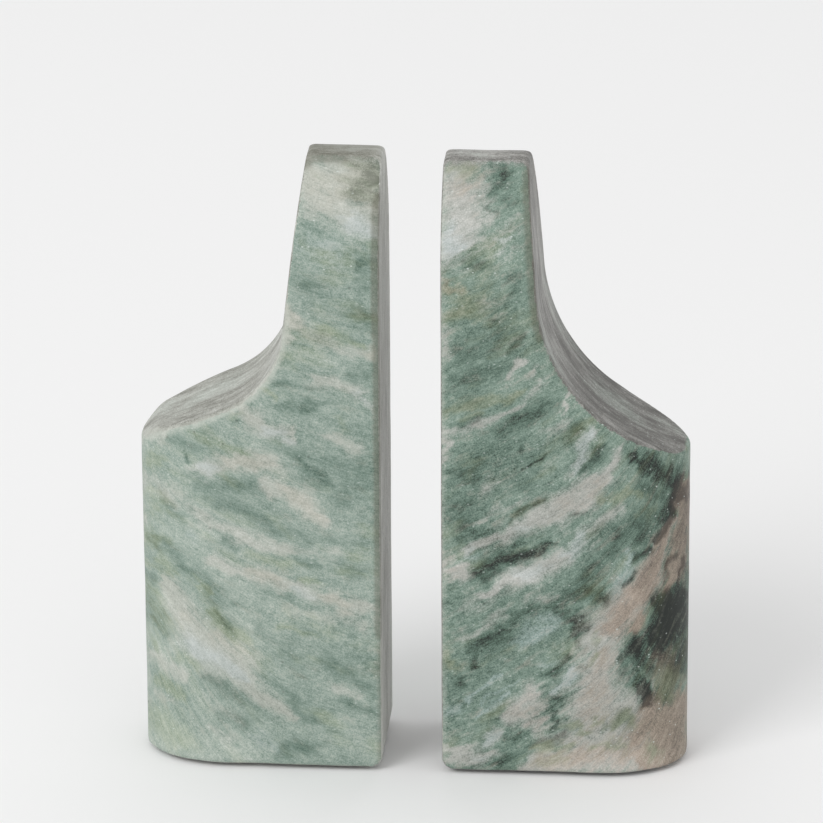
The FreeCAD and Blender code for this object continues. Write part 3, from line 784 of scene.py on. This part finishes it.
def paint_block(mesh, side, local, way, rim, face):
    """Stores what the stone's material needs at each vertex."""
    spots = pattern_spots(local, side)
    frayed = fray(spots, side, local)
    masks = {kind: stroke_mask(frayed, strokes) for kind, strokes in VEINS[side].items()}
    here = local[:, [0, 2]]
    sawn = sawn_share(local, side, way, rim, face)
    edge = np.ones(len(local))
    for distance, depth, width in zip((rim, face), EDGE_DEPTHS, EDGE_WIDTHS):
        edge *= np.exp(-((distance + depth) / width) ** 2)
    add_vectors(mesh, "stone", *local.T)
    add_vectors(mesh, "layers", spots[:, 0], layer_height(side, spots), local[:, 1])
    add_vectors(mesh, "veins", masks["pale"], masks["cool"], masks["dark"])
    add_vectors(mesh, "tints", masks["olive"], masks["warm"], sawn)
    add_vectors(mesh, "shade", masks["light"] - masks["dim"])
    # Painted shade with some handling dirt: the marked eased edges are darkened where shade falls
    # on them.
    dirt_and_shade = edge * stroke_mask(here, DIRT_AND_SHADE_EDGES[side])
    # Painted highlight along the marked eased edges, with rubbed wear on the right ridge.
    wear_and_highlight = edge * stroke_mask(here, WEAR_AND_HIGHLIGHT_EDGES[side])
    add_vectors(mesh, "edges", dirt_and_shade, wear_and_highlight, sawn_tone(local, side))


# ------------------------------ materials

def srgb(red, green, blue):
    """An sRGB colour of 0 to 255 as the linear colour that shaders take."""
    def linear(value):
        value /= 255
        return value / 12.92 if value <= 0.04045 else ((value + 0.055) / 1.055) ** 2.4
    return (linear(red), linear(green), linear(blue), 1.0)


def map_srgb(colours):
    return [srgb(*colour) for colour in colours]


def new_material(name):
    """A material with just a Principled shader: its node tree and the shader."""
    material = bpy.data.materials.new(name)
    material.use_nodes = True
    return material, material.node_tree, material.node_tree.nodes["Principled BSDF"]


def add_node(tree, kind, inputs=(), **settings):
    """A node with its settings, and its inputs as values or as other nodes' outputs."""
    node = tree.nodes.new(kind)
    for name, value in settings.items():
        setattr(node, name, value)
    for name, value in dict(inputs).items():
        connect(tree, value, node.inputs[name])
    return node


def connect(tree, value, socket):
    if isinstance(value, bpy.types.NodeSocket):
        tree.links.new(value, socket)
    else:
        socket.default_value = value


def calculate(tree, operation, *values):
    """A Math node's result."""
    return add_node(tree, "ShaderNodeMath", dict(enumerate(values)), operation=operation).outputs[0]


def mix(tree, share, first, second):
    """A colour between two others."""
    inputs = {"Factor": share, "A": first, "B": second}
    return add_node(tree, "ShaderNodeMix", inputs, data_type="RGBA").outputs["Result"]


def overlay(tree, share, most, colour, top):
    """The colour with another laid over it by the share, which counts up to the most."""
    return mix(tree, calculate(tree, "MULTIPLY", share, most), colour, top)


def between(tree, value, low, high):
    """Zero where the value is under low, one over high, smooth between."""
    node = add_node(tree, "ShaderNodeMapRange", {
        "Value": value, "From Min": low, "From Max": high,
    }, interpolation_type="SMOOTHSTEP")
    return node.outputs["Result"]


def attribute(tree, name):
    """A vertex attribute: the vector and its three parts."""
    vector = add_node(tree, "ShaderNodeAttribute", attribute_name=name).outputs["Vector"]
    parts = add_node(tree, "ShaderNodeSeparateXYZ", {"Vector": vector}).outputs
    return vector, parts


def scaled(tree, vector, per_mm):
    """The vector with its own scale along each axis."""
    return add_node(tree, "ShaderNodeMapping", {"Vector": vector, "Scale": per_mm}).outputs[0]


def swirl(tree, vector, per_mm, detail=4.0, roughness=0.6, distortion=0.0):
    """Noise around zero. per_mm gives the pattern's changes for each millimetre along each axis."""
    noise_node = add_node(tree, "ShaderNodeTexNoise", {
        "Vector": scaled(tree, vector, per_mm), "Scale": 1.0, "Detail": detail,
        "Roughness": roughness, "Distortion": distortion,
    })
    return calculate(tree, "SUBTRACT", noise_node.outputs[0], 0.5)


def total(tree, start, *terms):
    """start plus each (value, weight)."""
    result = start
    for value, weight in terms:
        result = calculate(tree, "MULTIPLY_ADD", value, weight, result)
    return result


def ramp(tree, value, colours):
    """A colour by value, through evenly spaced colours."""
    node = add_node(tree, "ShaderNodeValToRGB", {"Fac": value})
    elements = node.color_ramp.elements
    while len(elements) < len(colours):
        elements.new(1.0)
    for index, (element, colour) in enumerate(zip(elements, colours)):
        element.position = index / (len(colours) - 1)
        element.color = colour
    return node.outputs["Color"]


def add_bump(tree, shader, strength, distance, height):
    """Fine relief in the shading, its distance in metres."""
    bump = add_node(tree, "ShaderNodeBump", {
        "Strength": strength, "Distance": distance, "Height": height,
    })
    connect(tree, bump.outputs["Normal"], shader.inputs["Normal"])


WARMTH = {"left": 0.35, "right": 0.9}       # how strongly the warm strokes colour the stone
STREAKS = {"left": 1.2, "right": 1.45}      # contrast of the sawn faces' streaks
SAWN_TOP = 1.25                             # the value of the sawn faces' lightest shade

# Each tint's shades from its darkest to its lightest.
LEFT_STONE = {
    "green": ((74, 97, 85), (110, 130, 119), (138, 154, 144), (163, 175, 165), (190, 197, 188)),
    "olive": ((84, 97, 74), (112, 125, 101), (136, 149, 126), (157, 168, 148), (180, 187, 170)),
    "pale": ((124, 130, 121), (152, 156, 147), (172, 175, 166), (187, 190, 182), (204, 206, 199)),
    "cool": ((122, 140, 137), (154, 168, 167), (176, 187, 188), (190, 199, 202), (206, 213, 216)),
    "warm": ((120, 116, 100), (150, 147, 132), (174, 170, 156), (190, 185, 172), (204, 198, 186)),
    "sawn": ((118, 118, 110), (148, 149, 141), (174, 175, 168), (196, 197, 191), (216, 217, 212)),
}
RIGHT_STONE = {
    "green": ((30, 36, 32), (76, 97, 85), (110, 131, 119), (138, 156, 144), (173, 185, 175)),
    "olive": ((66, 74, 52), (92, 102, 78), (118, 128, 104), (142, 150, 128), (166, 172, 150)),
    "pale": ((106, 109, 102), (141, 143, 137), (167, 168, 162), (186, 186, 181), (204, 204, 199)),
    "cool": ((96, 118, 114), (136, 156, 154), (164, 180, 180), (186, 198, 200), (204, 214, 218)),
    "warm": ((84, 74, 66), (118, 106, 95), (147, 133, 120), (172, 157, 143), (192, 178, 166)),
    "sawn": ((84, 83, 79), (109, 108, 104), (135, 134, 130), (161, 160, 156), (182, 181, 177)),
}
STONES = {"left": LEFT_STONE, "right": RIGHT_STONE}


def front_colour(tree, side, layers, mottle, grain):
    """The marble where it is cut along its layers: green clouds, veins and patches."""
    clouds = swirl(tree, layers, (0.03, 0.07, 0.06), detail=5.0, roughness=0.55)
    streaks = swirl(tree, layers, (0.12, 0.5, 0.4), detail=4.0)
    patches = swirl(tree, layers, (0.18, 0.35, 0.3), detail=5.0, roughness=0.65)
    threads = swirl(tree, layers, (0.5, 2.2, 1.5), detail=2.0)
    hue = swirl(tree, layers, (0.06, 0.12, 0.1), detail=4.0)
    ragged = total(tree, 0.0, (streaks, 1.1), (mottle, 0.8), (patches, 1.6), (grain, 0.3))
    _, veins = attribute(tree, "veins")
    _, tints = attribute(tree, "tints")
    _, shade = attribute(tree, "shade")
    dark = between(tree, total(tree, veins[2], (ragged, 0.7)), 0.05, 1.0)
    value = total(
        tree, 0.57, (clouds, 0.8), (shade[0], 1.0), (dark, -0.5),
        (streaks, 0.5), (mottle, 0.6), (threads, 0.5), (grain, 1.0),
    )
    shades = {kind: ramp(tree, value, map_srgb(colours)) for kind, colours in STONES[side].items()}
    colour = mix(tree, between(tree, hue, 0.0, 0.3), shades["green"], shades["olive"])
    for kind, mask, most in (
        ("pale", veins[0], 0.92),
        ("cool", veins[1], 0.45),
        ("warm", tints[1], WARMTH[side]),
        ("olive", tints[0], 0.75),
    ):
        share = between(tree, total(tree, mask, (ragged, 0.7)), 0.0, 0.95)
        colour = overlay(tree, share, most, colour, shades[kind])
    return colour


def sawn_colour(tree, side, stone, tone, mottle, grain):
    """The marble where it is cut across its layers: fine grey streaks along the profile."""
    clouds = swirl(tree, stone, (0.03, 0.06, 0.03), detail=3.0)
    bands = swirl(tree, stone, (0.06, 0.24, 0.06), detail=4.0, roughness=0.7, distortion=0.4)
    lines = swirl(tree, stone, (0.16, 0.8, 0.16), detail=4.0, roughness=0.7)
    value = total(
        tree, tone, (clouds, 0.9), (bands, 1.6 * STREAKS[side]), (lines, 0.9 * STREAKS[side]),
        (mottle, 0.9), (grain, 1.6),
    )
    grey = ramp(tree, calculate(tree, "DIVIDE", value, SAWN_TOP), map_srgb(STONES[side]["sawn"]))
    tinge = between(tree, total(tree, clouds, (bands, 0.6), (mottle, 0.4)), 0.0, 0.3)
    green = ramp(tree, value, map_srgb(STONES[side]["green"][1:4]))
    return overlay(tree, tinge, 0.35, grey, green)


def flecks(tree, vector, per_mm, share, size):
    """Small crystals: one where each of the pattern's cells falls within the share, or nothing."""
    place = scaled(tree, vector, per_mm)
    cells = add_node(tree, "ShaderNodeTexVoronoi", {"Vector": place, "Scale": 1.0})
    parts = add_node(tree, "ShaderNodeSeparateColor", {"Color": cells.outputs["Color"]}).outputs
    chosen = calculate(tree, "LESS_THAN", parts[0], share)
    inside = between(tree, cells.outputs["Distance"], size, size * 0.5)
    return calculate(tree, "MULTIPLY", calculate(tree, "MULTIPLY", chosen, inside), parts[1])


def stone_material(side):
    """Honed green marble. All its patterns are in the block's own millimetres."""
    material, tree, shader = new_material(f"{side}_marble")
    stone, _ = attribute(tree, "stone")
    layers, _ = attribute(tree, "layers")
    mottle = swirl(tree, stone, (0.75, 0.75, 0.75), detail=4.0, roughness=0.65)
    grain = swirl(tree, stone, (3.0, 3.0, 3.0), detail=3.0, roughness=0.7)
    _, tints = attribute(tree, "tints")
    _, edges = attribute(tree, "edges")
    cloud = swirl(tree, stone, (0.2, 0.2, 0.2), detail=4.0)
    colour = mix(
        tree,
        between(tree, total(tree, tints[2], (mottle, 0.6), (cloud, 0.8)), 0.25, 0.75),
        front_colour(tree, side, layers, mottle, grain),
        sawn_colour(tree, side, stone, edges[2], mottle, grain),
    )
    white = flecks(tree, stone, (0.8, 1.4, 1.2), 0.14, 0.28)
    colour = overlay(tree, white, 0.8, colour, srgb(206, 214, 209))
    black = flecks(tree, stone, (0.3, 0.3, 0.3), 0.06, 0.13)
    colour = overlay(tree, black, 0.8, colour, srgb(52, 54, 44))
    # Painted shade with some dirt: a dark olive brown laid along the marked edges.
    dirt_and_shade = between(tree, total(tree, edges[0], (mottle, 0.6)), 0.15, 0.9)
    colour = overlay(tree, dirt_and_shade, 0.5, colour, srgb(88, 86, 70))
    # Painted highlight and rubbed wear: a pale grey laid along the marked edges.
    wear_and_highlight = between(tree, total(tree, edges[1], (mottle, 0.8)), 0.1, 0.9)
    colour = overlay(tree, wear_and_highlight, 0.55, colour, srgb(186, 189, 180))
    connect(tree, colour, shader.inputs["Base Color"])
    rough = total(tree, 0.5, (mottle, 0.35), (grain, 0.2))
    connect(tree, rough, shader.inputs["Roughness"])
    shader.inputs["Specular IOR Level"].default_value = 0.35
    add_bump(tree, shader, 0.25, 0.0001, total(tree, 0.5, (mottle, 1.0), (grain, 1.0)))
    return material


for side in SIDES:
    make_block(side)


# ------------------------------ felt discs

PADS = [f"pad_{column}_{row}" for column in ("inner", "outer") for row in ("front", "back")]
FELT_ROUND = 0.3            # how far a disc's rim bulges between its faces
FELT_FUZZ = 0.06            # how ragged its cut rim is
FELT_WAVE = 0.35            # length of that raggedness
FELT_SEGMENTS = 96


def felt_profile(radius, height):
    """(radius, height) pairs from the underside over the bulging rim to the top of a disc."""
    flat = [radius * share for share in (0.3, 0.6, 0.85)]
    rim = [
        (radius - FELT_ROUND * (1 - math.cos(angle)), height * (1 + math.sin(angle)) / 2)
        for angle in np.linspace(-math.pi / 2, math.pi / 2, 7)
    ]
    return [(reach, 0.0) for reach in flat] + rim + [(reach, height) for reach in reversed(flat)]


def felt_points(profile, radius, middle):
    """The middles of a disc's two faces, then a ring of points for each pair of the profile."""
    points = [(0.0, 0.0, 0.0), (0.0, 0.0, profile[-1][1])]
    for reach, height in profile:
        for angle in np.linspace(0, 2 * math.pi, FELT_SEGMENTS, endpoint=False):
            here = Vector((math.cos(angle), math.sin(angle), 0)) * reach
            wave = Vector((here.x + middle.x, here.y + middle.y, height)) / FELT_WAVE
            ragged = reach - FELT_FUZZ * (0.5 + 0.5 * noise.noise(wave)) * (reach / radius) ** 4
            points.append((math.cos(angle) * ragged, math.sin(angle) * ragged, height))
    return points


def felt_faces(rings):
    """Triangles round the two middles, and quads from each ring to the next."""
    faces = []
    top = 2 + (rings - 1) * FELT_SEGMENTS
    for step in range(FELT_SEGMENTS):
        after = (step + 1) % FELT_SEGMENTS
        faces.append((0, 2 + after, 2 + step))
        faces.append((1, top + step, top + after))
        for first in range(2, top, FELT_SEGMENTS):
            second = first + FELT_SEGMENTS
            faces.append((first + step, first + after, second + after, second + step))
    return faces


def make_pad(side, place, material):
    """One felt disc, cut by hand, in place of the CAD's plain cylinder."""
    node = f"{side}_{place}"
    low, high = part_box(node)
    middle = (low + high) / 2 / MM
    radius = (high.x - low.x) / MM / 2
    profile = felt_profile(radius, (high.z - low.z) / MM)
    points = felt_points(profile, radius, middle)
    foot = Vector((middle.x, middle.y, low.z / MM))
    mesh = bpy.data.meshes.new(f"{node}_felt")
    placed = [(Vector(point) + foot) * MM for point in points]
    mesh.from_pydata(placed, [], felt_faces(len(profile)))
    mesh.materials.append(material)
    shade_smooth(mesh)
    add_vectors(mesh, "felt", *np.array(points).T)
    pad = bpy.data.objects.new(f"{node}_felt", mesh)
    bpy.context.scene.collection.objects.link(pad)
    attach(pad, BODIES[side])
    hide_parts(node)


def felt_material():
    """Dense dark wool felt: matted fibres that run every way."""
    material, tree, shader = new_material("felt")
    place, _ = attribute(tree, "felt")
    matting = swirl(tree, place, (1.2, 1.2, 1.2), detail=4.0)
    across = swirl(tree, place, (1.5, 9.0, 4.0), detail=3.0, distortion=1.5)
    along = swirl(tree, place, (9.0, 1.5, 4.0), detail=3.0, distortion=1.5)
    value = total(tree, 0.5, (matting, 0.8), (across, 0.9), (along, 0.9))
    shades = ((34, 37, 35), (52, 56, 53), (72, 76, 72), (104, 108, 103))
    connect(tree, ramp(tree, value, map_srgb(shades)), shader.inputs["Base Color"])
    shader.inputs["Roughness"].default_value = 0.95
    shader.inputs["Specular IOR Level"].default_value = 0.2
    shader.inputs["Sheen Weight"].default_value = 0.4
    shader.inputs["Sheen Roughness"].default_value = 0.6
    add_bump(tree, shader, 0.6, 0.0002, value)
    return material


felt = felt_material()
for side in SIDES:
    for place in PADS:
        make_pad(side, place, felt)


# ------------------------------ studio

CAMERA_AZIMUTH = 4.58      # degrees, the camera stands a little to the right of the pair's middle
CAMERA_ELEVATION = 21.33
CAMERA_ROLL = -0.31
CAMERA_DISTANCE = 1405.2   # to the aim point
CAMERA_AIM = (-0.9, 0.0, 85.9)
CAMERA_LENS = 262.5        # on a 36 mm wide sensor


def make_camera():
    data = bpy.data.cameras.new("camera")
    data.lens = CAMERA_LENS
    data.sensor_width = 36.0
    data.clip_start = 0.05
    data.clip_end = 50.0
    camera = bpy.data.objects.new("camera", data)
    azimuth = math.radians(CAMERA_AZIMUTH)
    elevation = math.radians(CAMERA_ELEVATION)
    back = Vector((
        math.sin(azimuth) * math.cos(elevation),
        -math.cos(azimuth) * math.cos(elevation),
        math.sin(elevation),
    ))
    camera.location = (Vector(CAMERA_AIM) + back * CAMERA_DISTANCE) * MM
    facing = (-back).to_track_quat("-Z", "Y")
    roll = Euler((0, 0, math.radians(CAMERA_ROLL))).to_quaternion()
    camera.rotation_mode = "QUATERNION"
    camera.rotation_quaternion = facing @ roll
    bpy.context.scene.collection.objects.link(camera)
    bpy.context.scene.camera = camera


make_camera()


WORLD_STRENGTH = 0.82
KEY_POWER = 36.0
KEY_SIZE = 1.5             # metres
KEY_PLACE = (-1.5, -1.9, 2.1)
KEY_AIM = (0.0, 0.0, 0.07)
FLOOR_SIZE = 8.0           # metres


def make_floor():
    """A plain pale floor, out past everything the camera sees."""
    mesh = bpy.data.meshes.new("floor")
    half = FLOOR_SIZE / 2
    corners = [(-half, -half, 0), (half, -half, 0), (half, half, 0), (-half, half, 0)]
    mesh.from_pydata(corners, [], [(0, 1, 2, 3)])
    material, _, shader = new_material("floor")
    shader.inputs["Base Color"].default_value = srgb(241, 241, 241)
    shader.inputs["Roughness"].default_value = 0.9
    shader.inputs["Specular IOR Level"].default_value = 0.1
    mesh.materials.append(material)
    floor = bpy.data.objects.new("floor", mesh)
    bpy.context.scene.collection.objects.link(floor)


def make_lights():
    """An even white surround and one large soft lamp to the front left."""
    world = bpy.data.worlds.new("studio")
    world.use_nodes = True
    background = world.node_tree.nodes["Background"]
    background.inputs["Color"].default_value = (1, 1, 1, 1)
    background.inputs["Strength"].default_value = WORLD_STRENGTH
    bpy.context.scene.world = world
    data = bpy.data.lights.new("key", "AREA")
    data.size = KEY_SIZE
    data.energy = KEY_POWER
    lamp = bpy.data.objects.new("key", data)
    lamp.location = KEY_PLACE
    aim = Vector(KEY_AIM) - lamp.location
    lamp.rotation_euler = aim.to_track_quat("-Z", "Y").to_euler()
    bpy.context.scene.collection.objects.link(lamp)


make_floor()
make_lights()
bpy.context.scene.view_settings.view_transform = "Standard"
